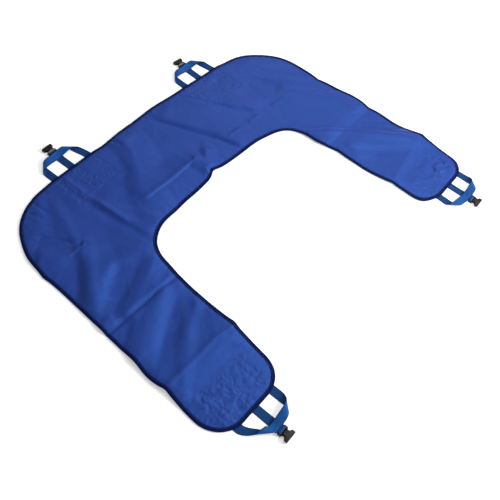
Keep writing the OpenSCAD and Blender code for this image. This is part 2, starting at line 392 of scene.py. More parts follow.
LINES = (
    (((-605, -34), (-460, -41), (-335, -44)), -3.2, (10, 9), 1.5),
    (((-600, -240), (-506, -245), (-414, -243), (-345, -256)), 2.0, (14, 7), 1.5),
    (((-222, 197), (-116, 195), (-12, 198)), 1.9, (15, 6), 1.5),
    (((-222, 188), (-116, 186), (-20, 188)), -0.8, (5, 12), 1.5),
    (((-322, 424), (-326, 350), (-318, 270), (-311, 165)), 4.0, (13, 16), 1.5),
    (((-518, 306), (-480, 245), (-444, 203)), -8.0, (15, 42), 1.5),
    (((-446, 418), (-442, 352)), -2.0, (9, 7), 1.5),
    (((-478, 392), (-462, 350)), -1.6, (8, 8), 1.5),
    (((-500, 204), (-440, 202)), 2.0, (9, 6), 1.5),
    (((22, 398), (60, 320), (92, 240), (112, 190), (134, 132)), -3.2, (10, 8), 1.5),
    (((160, 420), (190, 365), (240, 270), (294, 196)), -4.2, (9, 8), 1.5),
    (((396, 332), (445, 245), (500, 165), (574, 70)), -4.2, (9, 8), 1.5),
    (((338, 38), (430, -52), (505, -128), (590, -240)), -4.0, (7, 8), 1.5),
    (((140, 186), (200, 184)), 1.8, (10, 6), 1.2),
    (((235, 181), (292, 178)), 1.8, (10, 6), 1.2),
    (((345, 176), (410, 170)), 1.8, (10, 6), 1.2),
    (((345, -62), (460, -60), (590, -62)), -0.6, (8, 9), 1.5),
    (((370, -295), (480, -277), (598, -257)), 0.8, (14, 7), 1.5),
    (((-130, 425), (-122, 390)), -2.0, (10, 6), 1.5),
)

# How the edge wanders from the line it was cut on, in mm: a place on it, how far it is drawn in (or
# let out, when negative), over what length, and whether the pull comes to a point (1) or is soft (0)
EDGE_PULLS = (
    ((-310, 430), 4, 60, 0), ((280, 433), 4, 60, 0), ((-200, 435), 7, 62, 0),
    ((-118, 437), 2, 16, 1), ((-555, 325), 3, 45, 0), ((-579, 205), -6, 26, 1),
    ((-597, -190), -6, 42, 0), ((-598, -240), 5, 16, 1), ((-603, -330), -3, 45, 0),
    ((-515, -433), 4, 34, 0), ((-359, -362), 2.5, 34, 0), ((-350, -247), -6, 16, 1),
    ((-341, -100), 2.5, 75, 0), ((-334, -7), -3, 22, 0), ((-309, 58), 2.5, 34, 0),
    ((-212, 112), -9.5, 58, 0), ((-100, 113), -3, 50, 0), ((60, 437), -5, 75, 0),
    ((400, 427), 4, 50, 0), ((520, 372), 4, 60, 0), ((582, 147), 9, 26, 1),
    ((587, 20), -5, 34, 0), ((591, -56), 6, 15, 1), ((595, -160), 6, 45, 0),
    ((599, -256), -10, 17, 1), ((603, -362), 9, 40, 0), ((375, -400), -9, 36, 0),
    ((354, -294), 6, 16, 1), ((349, -210), -5, 55, 0), ((341, -95), 4, 22, 0),
    ((335, -15), -8, 34, 0), ((300, 68), 5, 38, 0), ((228, 111), -6, 42, 0),
)


def crease_profile(d, side, widths, tip):
    """A fold's profile: straight flanks, each with its own spread, and a tip of the given roundness."""
    reach = np.where(side > 0, widths[0], widths[1]) * MM
    soft = np.sqrt(d * d + (tip * MM) ** 2) - tip * MM
    left = 1 - soft / reach
    return (left + np.sqrt(left * left + 0.004)) / 2 * (left > -1)


def heights(points, creases):
    z = np.zeros(len(points))
    for chain, height, widths, tip in creases:
        d, side, share = to_segments(points, np.array(chain) * MM)
        fade = ease(np.minimum(share, 1 - share) * 6 + 0.35)
        z += height * MM * fade * crease_profile(d, side, widths, tip)
    return z


def held_flat(points):
    """1 where webbing is sewn under the panel and holds it flat, 0 well away from it."""
    flat = np.zeros(len(points))
    for name in STATIONS:
        u, v = local(name, points)
        beyond = np.maximum(np.abs(u) - 80 * MM, 0) + np.maximum(-v - TAIL_L, 0)
        flat = np.maximum(flat, 1 - ease(beyond / (45 * MM)))
    return flat


def drawn_in(points, edge_points, edge_in):
    """How the pulls on the edge move the panel in plan."""
    shift = np.zeros_like(points)
    for at, depth, width, pointed in EDGE_PULLS:
        near = np.argmin(np.linalg.norm(edge_points - np.array(at) * MM, axis=1))
        d = np.linalg.norm(points - edge_points[near], axis=1)
        point = np.exp(-(np.sqrt(d * d + (2 * MM) ** 2) - 2 * MM) / (width * MM))
        shift += edge_in[near] * (depth * MM) * (point if pointed else bell(d, width * MM))[:, None]
    return shift


def kinked(points):
    """The peak at the middle of the inner edge, where the centre crease draws the edge up."""
    x, y = points[:, 0] - 2 * MM, points[:, 1] - inner_y
    reach = bell(y, 75 * MM)
    flank = np.where(x > 0, 70 * MM, 20 * MM)
    soft = np.exp(-np.sqrt(x * x + (3 * MM) ** 2) / (200 * MM))
    shift = np.zeros_like(points)
    shift[:, 1] = reach * 17 * MM * np.exp(-np.abs(x) / flank) * soft
    shift[:, 0] = -reach * 3 * MM * bell(x, 30 * MM)
    return shift, reach * 5 * MM * bell(x, 20 * MM)


def laid_out(plan):
    """The panel's middle surface as it lies, before it settles."""
    points = plan["points"]
    edge, inward, _ = half_outline(5 * MM)
    edge_points = np.concatenate([edge, edge * (-1, 1)])
    edge_in = np.concatenate([inward, inward * (-1, 1)])
    free = 1 - held_flat(points)
    shift, lift = kinked(points)
    shift = shift + drawn_in(points, edge_points, edge_in) * (0.35 + 0.65 * free[:, None])
    rolling = 0.9 * MM * (wave(points, 0.16, 1) + 0.5 * wave(points, 0.07, 2) + 0.8)
    height = (1.45 * heights(points, SWELLS) + rolling) * free + lift
    high = 14.5 * MM
    height = np.where(height > 0, high * np.tanh(height / high), 0)
    return np.column_stack([points + shift, BASE + height])


def settle(plan, start):
    """Lets the creased panel come down on the floor as cloth, and gives where its points end."""
    scene = bpy.context.scene
    points = plan["points"]
    cloth = new_object("settling_cloth", start, plan["faces"]["left"] + plan["faces"]["right"])
    pins = cloth.vertex_groups.new(name="pins")
    for i, weight in enumerate(held_flat(points)):
        if weight > 0.01:
            pins.add([i], float(weight), "REPLACE")
    # The binding shrinks a little as it is sewn, which draws the edge in
    edge = cloth.vertex_groups.new(name="edge")
    for i, d in enumerate(edge_facts(plan)[0]):
        if d < 30 * MM:
            edge.add([i], float(1 - ease((d - 8 * MM) / (22 * MM))), "REPLACE")
    ground = square("settling_floor", 1)
    hit = ground.modifiers.new("hit", "COLLISION")
    hit.settings.thickness_outer = 1 * MM
    hit.settings.cloth_friction = 30
    c = cloth.modifiers.new("cloth", "CLOTH")
    c.settings.quality = 8
    c.settings.mass = 0.05
    c.settings.air_damping = 2
    c.settings.tension_stiffness = c.settings.compression_stiffness = 30
    c.settings.shear_stiffness = 15
    c.settings.bending_stiffness = 8
    c.settings.bending_damping = 1
    c.settings.vertex_group_mass = "pins"
    c.settings.vertex_group_shrink = "edge"
    c.settings.shrink_min, c.settings.shrink_max = 0.0, 0.022
    c.settings.effector_weights.gravity = 0.35
    c.collision_settings.collision_quality = 3
    c.collision_settings.distance_min = BASE
    last = 26
    c.point_cache.frame_start, c.point_cache.frame_end = 1, last
    scene.frame_start, scene.frame_end = 1, last
    for f in range(1, last + 1):
        scene.frame_set(f)
    done = cloth.evaluated_get(bpy.context.evaluated_depsgraph_get())
    co = np.empty(len(start) * 3)
    done.data.vertices.foreach_get("co", co)
    scene.frame_set(1)
    for o in (cloth, ground):
        bpy.data.objects.remove(o)
    return co.reshape(-1, 3)


def carried(plan, moved, targets):
    """Moves of the settled cloth, spread to the points of a finer mesh."""
    tree = plan_tree(plan["points"])
    moves = moved - np.column_stack([plan["points"], np.zeros(len(moved))])
    out = np.zeros((len(targets), 3))
    for k, p in enumerate(targets):
        near = tree.find_n((p[0], p[1], 0), 7)
        w = bell(np.array([n[2] for n in near]), 6.5 * MM) + 1e-9
        out[k] = (w[:, None] * moves[[n[1] for n in near]]).sum(0) / w.sum()
    return out


def point_normals(points, faces):
    total = np.zeros_like(points)
    for size in (3, 4):
        some = np.array([f for f in faces if len(f) == size])
        if len(some):
            p = points[some]
            n = np.cross(p[:, 1] - p[:, 0], p[:, 2] - p[:, 0])
            if size == 4:
                n += np.cross(p[:, 2] - p[:, 0], p[:, 3] - p[:, 0])
            for k in range(size):
                np.add.at(total, some[:, k], n)
    return unit(total)


# ---------------------------------------------------------------- panel

# How crumpled the panel is over each handle's tails, in mm
CRUMPLED = {"back_left": 0.9, "back_right": 0.7, "leg_left": 1.6, "leg_right": 2.2}


def edge_facts(plan):
    """For each point, its distance from the panel's edge and the place along the edge nearest to it."""
    edge = np.concatenate([plan["rings"][side][0] for side in SIDES])
    places = np.concatenate([plan["s"], -plan["s"]])
    tree = plan_tree(plan["points"][edge])
    found = [tree.find((*p, 0)) for p in plan["points"]]
    return np.array([f[2] for f in found]), places[[f[1] for f in found]]


def stitch_lines():
    """The box and cross sewn through each webbing tail, as pairs of ends in the handle's frame."""
    lines = []
    for u in TAILS_U:
        a, b = u - 9.5 * MM, u + 9.5 * MM
        near, far = -16 * MM, -TAIL_L + 6 * MM
        mid = near - 34 * MM
        lines += [((a, near), (b, near)), ((a, mid), (b, mid)), ((a, far), (b, far))]
        lines += [((a, near), (a, far)), ((b, near), (b, far)), ((a, near), (b, mid)), ((b, near), (a, mid))]
    return lines


def crumpled(name, points, depth):
    """How far the face is raised over a handle's tails: the stitches' grooves and puckers, and crumples."""
    u, v = local(name, points)
    here = np.stack([u, v], 1)
    groove = np.zeros(len(points))
    ripple = np.zeros(len(points))
    for ends in stitch_lines():
        d, _, _ = to_segments(here, ends)
        groove = np.maximum(groove, bell(d, 2.4 * MM))
        ripple = np.maximum(ripple, bell(d - 6 * MM, 5 * MM))
    seed = STATIONS.index(name)
    pucker = wave(here, 9 * MM, 20 + seed) + 0.7 * wave(here, 5 * MM, 30 + seed)
    folds = 4.5 * facets(here, 25 * MM, 40 + seed) + 1.2 * facets(here, 13 * MM, 60 + seed)
    folds += 4 * facets(here, 48 * MM, 80 + seed)
    outward = np.abs(points[:, 0]) - abs(place(name, 0.0, 0.0)[0])
    folds = folds * (0.4 + 0.6 * ease(0.5 + outward / (120 * MM))) + 0.4
    fade = ease((v + TAIL_L + 25 * MM) / (60 * MM)) * ease((100 * MM - np.abs(u)) / (35 * MM))
    fade = fade * ease((depth - STITCH_D) / (10 * MM))
    return -0.5 * MM * groove + 0.7 * MM * ripple * pucker + fade * CRUMPLED[name] * MM * folds


def panel_surfaces(plan, middle):
    """Upper and lower surface of the padded panel about its middle surface, and that one's normals."""
    depth, along_edge = edge_facts(plan)
    normals = point_normals(middle, plan["faces"]["left"] + plan["faces"]["right"])
    half = (SQUEEZED + (LOFT - SQUEEZED) * ease((depth - STITCH_D) / (16 * MM))) / 2
    along = np.column_stack([along_edge, depth * 0.25])
    pucker = wave(along, 9 * MM, 3) + 0.6 * wave(along, 4.5 * MM, 4)
    zone = ease((depth - STITCH_D) / (4 * MM)) * (1 - ease((depth - 14 * MM) / (24 * MM)))
    above = half + 0.95 * MM * pucker * zone
    for name in STATIONS:
        u, v = local(name, plan["points"])
        close = (np.abs(u) < 100 * MM) & (v > -TAIL_L - 25 * MM)
        above[close] += crumpled(name, plan["points"][close], depth[close])
    upper = middle + normals * above[:, None]
    lower = middle - normals * half[:, None]
    lower[:, 2] = np.maximum(lower[:, 2], 0.75 * MM)
    thickness = np.sum((upper - lower) * normals, axis=1)
    upper += normals * np.maximum(THINNEST - thickness, 0)[:, None]
    return upper, lower, normals


def shell(name, top, bottom, faces, loop):
    """A closed skin between two surfaces that share their faces."""
    used = np.unique(np.concatenate([np.array(f) for f in faces]))
    small = np.full(len(top), -1)
    small[used] = np.arange(len(used))
    n = len(used)
    upper = [tuple(small[list(f)]) for f in faces]
    lower = [tuple(reversed([i + n for i in f])) for f in upper]
    rim = small[loop]
    walls = [(a, a + n, b + n, b) for a, b in zip(rim, np.roll(rim, -1))]
    obj = new_object(name, np.concatenate([top[used], bottom[used]]), upper + lower + walls)
    obj.data.set_sharp_from_angle(angle=math.radians(55))
    return obj


def half_loop(plan, side):
    """The edge of one half of the panel, in the direction its faces turn."""
    loop = np.concatenate([plan["rings"][side][0], plan["centre"][1:-1]])
    return loop if side == "left" else loop[::-1]


def flat_area():
    """The area of one half of the panel, as it was cut."""
    edge, _, _ = half_outline(5 * MM)
    x, y = edge[:, 0], edge[:, 1]
    return abs(np.sum(x * np.roll(y, -1) - np.roll(x, -1) * y)) / 2


# ---------------------------------------------------------------- binding and thread

def sweep(name, sections, uv):
    """A closed solid through equal closed sections, with texture coordinates in metres."""
    count, around = sections.shape[:2]
    obj = new_object(name, sections.reshape(-1, 3), tube_faces(count, around))
    layer = obj.data.uv_layers.new(name="UVMap")
    corners = np.empty(len(obj.data.loops), int)
    obj.data.loops.foreach_get("vertex_index", corners)
    layer.data.foreach_set("uv", uv.reshape(-1, 2).astype(np.float32)[corners].ravel())
    return obj


def binding(plan, side, upper, lower, middle, normals):
    """Tape folded round the edge, and the line along which it is sewn, above and below."""
    rings = plan["rings"][side]
    s = plan["s"]
    out = unit(middle[rings[0]] - middle[rings[2]])
    n = normals[rings[0]]
    crimp = 0.12 * MM * np.sin(2 * np.pi * s / (3.4 * MM))
    gather = 0.3 * MM * wave(np.column_stack([s, s * 0]), 7 * MM, 8 + SIDES.index(side))

    def skin(surface, sign, outside):
        """The tape's outer or inner face over one surface of the panel, ring by ring."""
        rows = []
        for k, depth in enumerate(RING_DEPTHS):
            if depth > TAPE_W:
                break
            lift = np.full((len(s), 1), TAPE_GAP)
            if outside:
                dip = 0.35 * MM * bell(depth - STITCH_D, 1.5 * MM)
                uneven = crimp * bell(depth - STITCH_D, 2 * MM) + gather * (0.4 if k else 1)
                lift += TAPE_T - dip + uneven[:, None]
            rows.append(surface[rings[k]] + sign * normals[rings[k]] * lift)
        return rows

    def path(outside):
        above, below = skin(upper, 1, outside), skin(lower, -1, outside)
        half = np.linalg.norm(upper[rings[0]] - lower[rings[0]], axis=1)[:, None] / 2
        half = half + TAPE_GAP + (TAPE_T if outside else 0)
        centre = (upper[rings[0]] + lower[rings[0]]) / 2
        angles = np.radians((60, 30, 0, -30, -60))
        nose = [centre + half * (out * math.cos(a) * 1.05 + n * math.sin(a)) for a in angles]
        return above[::-1] + nose + below, above[SEAM_RING], below[SEAM_RING]

    outer, seam_top, seam_low = path(True)
    sections = np.stack(outer + path(False)[0][::-1], 1)
    if side == "right":
        sections = sections[:, ::-1]
    across = np.linspace(0, 27 * MM, len(outer))
    across = np.concatenate([across, across[::-1]])
    uv = np.stack(np.meshgrid(s, across, indexing="ij"), -1)
    return sweep(f"edge_binding_{side}", sections, uv), seam_top, seam_low


# A stitch along its length: the share of its length, its width and how high it stands
STITCH_SHAPE = ((0.0, 0.35, -0.9), (0.16, 0.95, 0.0), (0.5, 1.0, 0.35), (0.84, 0.95, 0.0), (1.0, 0.35, -0.9))


def stitches(name, starts, ends, normals, radius):
    """Short stitches of thread, each a bead that dips into the cloth at both ends."""
    around = 5
    along = unit(ends - starts)
    side = unit(np.cross(along, normals))
    up = np.cross(side, along)
    angles = np.arange(around) * 2 * np.pi / around
    rows = []
    for t, wide, rise in STITCH_SHAPE:
        centre = starts + (ends - starts) * t + up * radius * rise
        turned = [centre + radius * wide * (side * math.cos(a) + up * math.sin(a)) for a in angles]
        rows.append(np.stack(turned, 1))
    faces = []
    for i in range(len(starts)):
        faces += tube_faces(len(rows), around, i * len(rows) * around)
    return new_object(name, np.stack(rows, 1).reshape(-1, 3), faces)


def stitches_along(line, normals, pitch, share, start=0.0):
    """Ends and normals of stitches laid along a line."""
    length = run_length(line)
    first = np.arange(start + pitch * 0.2, length[-1] - pitch, pitch)

    def at(s, values):
        return np.stack([np.interp(s, length, values[:, k]) for k in range(3)], 1)

    return at(first, line), at(first + pitch * share, line), unit(at(first + pitch * share / 2, normals))


# ---------------------------------------------------------------- handles

# Where the crossing of a loop lies on the centre strap: its lowest point, and its slope
BED_LOW, BED_SLOPE = 2.5 * WEB_T + 0.25 * MM, 0.19
ACROSS = np.array([-1, -0.985, -0.93, -0.8, -0.4, 0, 0.4, 0.8, 0.93, 0.985, 1]) * WEB_W / 2

# How each loop lies, for its +u side and then its -u side: the length of webbing in the rolled
# shoulder in mm, the angle at which the crossing climbs outwards in degrees, how far the corner is
# rounded in mm and how far the leg's top tips outwards in mm
SHOULDERS = {
    "back_left": ((34, 5, 19, -8), (21, 5, 10, 0)),
    "back_right": ((31, 9, 11, -8), (23, 4, 10, 1)),
    "leg_left": ((25, 12, 14, -24), (35, 3, 26, 1)),
    "leg_right": ((22, 9, 12, 3), (33, 6, 19, 1)),
}


class Shoulder:
    """Half of a handle's loop: a leg of webbing that rolls over on itself and crosses to the middle.

    Points are in the handle's own frame, for the leg on the +u side.
    """

    def __init__(self, roll, rise, bend, lean):
        self.roll, self.bend, self.lean = roll * MM, bend * MM, lean * MM
        self.rise = math.radians(rise)
        self.crease = unit([-math.cos(self.rise), 1 + math.sin(self.rise)])
        self.over = np.array([self.crease[1], -self.crease[0]])
        self.slant = self.crease[1] / -self.crease[0]
        self.round = 14 * MM
        rolled_u = LOOP_U + self.roll * self.crease[0]
        climb = (self.round - rolled_u) * math.tan(self.rise)
        self.roll_v = MID_V + climb - self.roll * self.crease[1]
        self.leg = self.roll_v - ROOT_V
        self.turn = self.roll / self.over[1]
        self.half = self.leg + self.turn + rolled_u / math.cos(self.rise)
        self.t = np.linspace(0, 1, 97)
        angle = np.pi * (self.t - np.sin(2 * np.pi * self.t) / (2 * np.pi) * 0.75)
        angle = (angle[1:] + angle[:-1]) / 2
        step = self.roll / len(angle)
        self.out = np.concatenate([[0], np.cumsum(np.cos(angle))]) * step
        self.up = np.concatenate([[0], np.cumsum(np.sin(angle))]) * step

    def point(self, s, w):
        """Middle surface of the webbing: s from its root and w across it, with w above 0 on the outside."""
        base = np.array([LOOP_U, self.roll_v])
        flat = np.array([LOOP_U + w, ROOT_V + s]) - base
        along, past = float(flat @ self.crease), float(flat @ self.over)
        if past <= 0:
            q, z = base + flat, 0.0
        elif past <= self.roll:
            t = past / self.roll
            q = base + along * self.crease + np.interp(t, self.t, self.out) * self.over
            z = float(np.interp(t, self.t, self.up))
        else:
            q = base + along * self.crease + (self.out[-1] - past + self.roll) * self.over
            z = float(self.up[-1])
            flatter = math.hypot(q[0], self.round) - abs(q[0])
            q[1] -= flatter * math.tan(self.rise) * float(ease((past - self.roll) / (15 * MM)))
        z += WEB_T / 2
        if past > self.roll:
            k = float(ease((40 * MM - abs(q[0])) / (27 * MM)))
            z += k * (BED_LOW + (q[1] - MID_V + WEB_W / 2) * BED_SLOPE - z)
        return np.array([q[0], q[1], z])

    def rows(self):
        """Lines across the webbing from its tail to the middle of the loop: place, slant and ends."""
        rolled = self.leg + self.turn
        turned_back = -math.tan(self.rise) - self.slant
        places = [(s, 0.0) for s in np.linspace(-TAIL_L - ROOT_V, 0, 44)[:-1]]
        for s in np.arange(0, self.leg, 2.5 * MM):
            places.append((s, self.slant * float(ease(s / self.leg * 1.15))))
        places += [(s, self.slant) for s in self.leg + self.turn * np.linspace(0, 1, 30)]
        for t in np.linspace(0, 1, 24)[1:]:
            slant = self.slant + turned_back * float(ease(t * 1.6))
            places.append((rolled + (self.half - rolled) * t, slant))
        hw = WEB_W / 2
        return [(s, k, self.point(s + k * hw, -hw), self.point(s - k * hw, hw)) for s, k in places]


def web_section(centre, across, up):
    """A flat woven strip's section: rounded selvedges, a little thicker than the middle."""
    share = np.abs(ACROSS) / (WEB_W / 2)
    edge = np.sqrt(np.clip(1 - (np.maximum(share - 0.93, 0) / 0.07) ** 2, 0, 1))
    half = WEB_T / 2 * (0.15 + 0.85 * edge) * np.where((share >= 0.8) & (share < 0.985), 1.06, 1.0)
    top = centre + ACROSS[:, None] * across + half[:, None] * up
    low = centre + ACROSS[:, None] * across - half[:, None] * up
    return np.concatenate([top, low[::-1]])


def in_row(name, p):
    """Points of a handle's own frame, (u, v, z), in the object's frame."""
    p = np.asarray(p, float)
    return np.concatenate([place(name, p[..., 0], p[..., 1]), p[..., 2:3]], -1)


def strip(name, sections, along, slants, painted_sheen):
    """A strip of webbing through sections across it. Where the last argument is 1, its inner face is painted
    lighter, as a painted sheen.

    Its texture coordinates are metres of webbing, with 1 added across it on the face with the painted sheen.
    """
    across = np.concatenate([ACROSS, ACROSS[::-1]])
    u = along[:, None] - slants[:, None] * across[None, :]
    inner_face = np.repeat([0.0, 1.0], len(ACROSS))
    return sweep(name, sections, np.stack([u, across + inner_face * painted_sheen[:, None]], -1))


def handle_loop(name):
    """Loop of webbing with both of its sewn-down tails, as one strip."""
    near, far = (Shoulder(*values) for values in SHOULDERS[name])
    total = near.half + far.half
    mirror = np.array([-1, 1, 1])
    rows = near.rows()
    rows += [(total - s, -slant, a * mirror, b * mirror) for s, slant, a, b in far.rows()[::-1][1:]]
    s, slants, a, b = (np.array([row[k] for row in rows]) for k in range(4))
    # the strip's edges, smoothed over a reach that is short where the tails are sewn down
    bend = near.bend + (far.bend - near.bend) * ease((s - near.half) / (40 * MM) + 0.5)
    reach = bend * np.minimum(ease(s / (20 * MM)), ease((total - s) / (20 * MM))) + 0.3 * MM
    weights = bell(s[:, None] - s[None, :], reach[:, None]) * np.gradient(s)[None, :]
    weights /= weights.sum(1, keepdims=True)
    a, b = weights @ a, weights @ b
    for edge in (a, b):
        for side, shoulder in ((1, near), (-1, far)):
            share = ease(edge[:, 1] / (55 * MM)) * ease((side * edge[:, 0] - 12 * MM) / (36 * MM))
            edge[:, 0] += side * shoulder.lean * share
    normals = unit(np.cross(b - a, np.gradient((a + b) / 2, axis=0)))
    sections = np.array([web_section((p + q) / 2, (q - p) / WEB_W, n) for p, q, n in zip(a, b, normals)])
    # Between its roots the loop's inner face is painted lighter: a painted sheen on the crossing, where the
    # roll turns that face up
    painted_sheen = (s > 0) & (s < total)
    return strip(f"{name}_loop_webbing", in_row(name, sections), s, slants, painted_sheen)


def centre_strap(name):
    """Centre strap: out along the floor, round the buckle's bar and back on top of itself, with its tail."""
    eye = BAR_R + 0.1 * MM + WEB_T / 2
    down_v, end_v = 60 * MM, 47 * MM
    top, laid = BAR_Z + eye, 1.5 * WEB_T + 0.05 * MM
    line = [(v, WEB_T / 2) for v in np.linspace(-TAIL_L, BAR_V - 1 * MM, 64)]
    line += [(BAR_V + eye * math.sin(a), BAR_Z - eye * math.cos(a)) for a in np.linspace(0, math.pi, 16)]
    for t in np.linspace(0, 1, 10)[1:]:
        line.append((BAR_V + (down_v - BAR_V) * t, top + (laid - top) * float(ease(t))))
    line += [(v, laid) for v in np.linspace(down_v, end_v, 6)[1:]]
    line = np.array(line)
    length = run_length(line)
    side = np.array([1.0, 0, 0])
    ahead = unit(np.gradient(line, axis=0))
    sections = []
    for (v, z), (dv, dz) in zip(line, ahead):
        sections.append(web_section(np.array([0, v, z]), side, np.array([0, -dz, dv])))
    return strip(f"{name}_centre_webbing", in_row(name, sections), length, 0 * length, 0 * length)


# ---------------------------------------------------------------- sewing

def dropped(tree, points, low, high):
    """Where vertical lines through plan points meet a surface, coming from low to high."""
    found, normals = [], []
    for p in points:
        hit, n, *_ = tree.ray_cast(Vector((p[0], p[1], low)), Vector((0, 0, 1 if high > low else -1)))
        found.append(tuple(hit) if hit else (p[0], p[1], high))
        normals.append(tuple(n) if n else (0, 0, 1))
    return np.array(found), np.array(normals)


def tail_stitches(name, face):
    """Box-and-cross stitching of a handle's three tails, seen on the face and on the tails underneath."""
    pairs = []
    for a, b in stitch_lines():
        a, b = np.array(a), np.array(b)
        count = max(2, round(np.linalg.norm(b - a) / (3.2 * MM)))
        pairs += [(a + (b - a) * (k + 0.1) / count, a + (b - a) * (k + 0.9) / count) for k in range(count)]
    ends = [place(name, *np.transpose(points)) for points in zip(*pairs)]
    (top_a, n), (top_b, _) = (dropped(face, points, 60 * MM, 0) for points in ends)
    low_a, low_b = (np.column_stack([points, np.full(len(points), 0.28 * MM)]) for points in ends)
    up = np.where(n[:, 2:3] < 0, -n, n)
    down = np.tile((0.0, 0.0, -1.0), (len(up), 1))
    starts = np.concatenate([top_a + up * 0.12 * MM, low_a])
    stops = np.concatenate([top_b + up * 0.12 * MM, low_b])
    return stitches(f"{name}_box_stitches", starts, stops, np.concatenate([up, down]), 0.33 * MM)


def bartack(name):
    """Two dense zigzag bars that hold the loop to the centre strap."""
    half_bar, count = 1.1 * MM, 26
    starts, ends = [], []
    for v in (-8 * MM, 8 * MM):
        for k in range(count):
            u = (-10 + 20 * k / (count - 1)) * MM
            for points, lean, dv in ((starts, 0, -half_bar), (ends, 0.4 * MM, half_bar)):
                z = BED_LOW + (v + dv + WEB_W / 2) * BED_SLOPE + WEB_T / 2 + 0.1 * MM
                points.append((u + lean, MID_V + v + dv, z))
    up = np.tile(unit([0, -BED_SLOPE, 1]), (len(starts), 1))
    return stitches(f"{name}_bartack_thread", in_row(name, starts), in_row(name, ends), up, 0.36 * MM)


def anchor_patch(name, backing):
    """Reinforcing patch between the backing and the tails, with its edge turned in and sewn."""
    low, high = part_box(f"{name}_anchor_patch")
    us, vs = (np.sort(k) for k in local(name, np.array([(low.x, low.y), (high.x, high.y)])))
    inset = 1.5 * MM if name.startswith("leg") else 4.5 * MM
    us = np.linspace(us[0] + inset, us[1] - inset, 80)
    vs = np.linspace(vs[0] + inset, min(vs[1], -3 * MM), 48)
    gu, gv = np.meshgrid(us, vs, indexing="ij")
    if name.startswith("leg"):
        beyond = np.clip(gv + END_R, 0, END_R)
        limit = LEG_W / 2 - END_R + np.sqrt(END_R**2 - beyond**2) - 11 * MM
        gu = gu * np.minimum(1, limit / us[-1])
    plan = place(name, gu.ravel(), gv.ravel())
    above, _ = dropped(backing, plan, -20 * MM, 60 * MM)
    flat = np.column_stack([gu.ravel(), gv.ravel()])
    half = gu[-1:, :]
    rim = np.minimum.reduce([gu + half, half - gu, gv - vs[0], vs[-1] - gv]).ravel()
    off_tails = np.min([np.maximum(np.abs(flat[:, 0] - u) - WEB_W / 2, 0) for u in TAILS_U], axis=0)
    sag = 0.35 * MM * ease(off_tails / (9 * MM)) * (1 + 0.5 * wave(flat, 20 * MM, 50 + STATIONS.index(name)))
    top = np.minimum(above[:, 2] - 0.05 * MM, 2.35 * MM) - sag
    thick = 0.45 * MM + 0.35 * MM * bell(rim - 2 * MM, 3 * MM)
    bottom = top - thick * np.sqrt(np.clip(rim / (0.5 * MM), 0.05, 1))
    bottom = np.maximum(bottom, np.where(off_tails <= 0, 1.62 * MM, 0.9 * MM))
    top = np.maximum(top, bottom + 0.1 * MM)
    # u and v turn the same way as x and y, so the faces look up
    index = np.arange(gu.size).reshape(gu.shape)
    corners = (index[:-1, :-1], index[1:, :-1], index[1:, 1:], index[:-1, 1:])
    faces = [tuple(f) for f in np.stack(corners, -1).reshape(-1, 4)]
    loop = np.concatenate([index[:-1, 0], index[-1, :-1], index[:0:-1, -1], index[0, :0:-1]])
    surfaces = (np.column_stack([plan, top]), np.column_stack([plan, bottom]))
    obj = shell(f"{name}_reinforcing_patch", *surfaces, faces, loop)
    return obj, (us[-1] - us[0], vs[-1] - vs[0])


# ---------------------------------------------------------------- buckle

def rounded_ring(half_w, low, high, r, steps=6):
    """A rounded rectangle in the plane across the buckle, as (u, z) points."""
    r = min(r, half_w * 0.9, (high - low) * 0.49)
    corners = ((half_w - r, high - r), (r - half_w, high - r), (r - half_w, low + r), (half_w - r, low + r))
    ring = []
    for i, (cx, cz) in enumerate(corners):
        for k in range(steps):
            a = math.radians(90 * (i + k / (steps - 1)))
            ring.append((cx + r * math.cos(a), cz + r * math.sin(a)))
    return ring


def lofted(name, stations, r):
    """A closed solid through rounded rectangles: v, half width, low and high of each."""
    rings = [[(u, v, z) for u, z in rounded_ring(w, low, high, r)] for v, w, low, high in stations]
    verts = [p for ring in rings for p in ring]
    obj = new_object(name, verts, tube_faces(len(rings), len(rings[0])), False)
    mesh = bmesh.new()
    mesh.from_mesh(obj.data)
    bmesh.ops.recalc_face_normals(mesh, faces=mesh.faces)
    mesh.to_mesh(obj.data)
    mesh.free()
    return obj


def block(name, middle_u, width, v0, v1, low, high):
    obj = lofted(name, [(v, width / 2, low, high) for v in (v0, v1)], 0.6 * MM)
    for vert in obj.data.vertices:
        vert.co.x += middle_u
    return obj


def apply_modifiers(obj):
    done = obj.evaluated_get(bpy.context.evaluated_depsgraph_get())
    mesh = bpy.data.meshes.new_from_object(done)
    obj.modifiers.clear()
    obj.data = mesh


def combine(obj, others, operation):
    for other in others:
        m = obj.modifiers.new("combine", "BOOLEAN")
        m.operation = operation
        m.object = other
        m.solver = "EXACT"
    apply_modifiers(obj)
    for other in others:
        bpy.data.objects.remove(other)


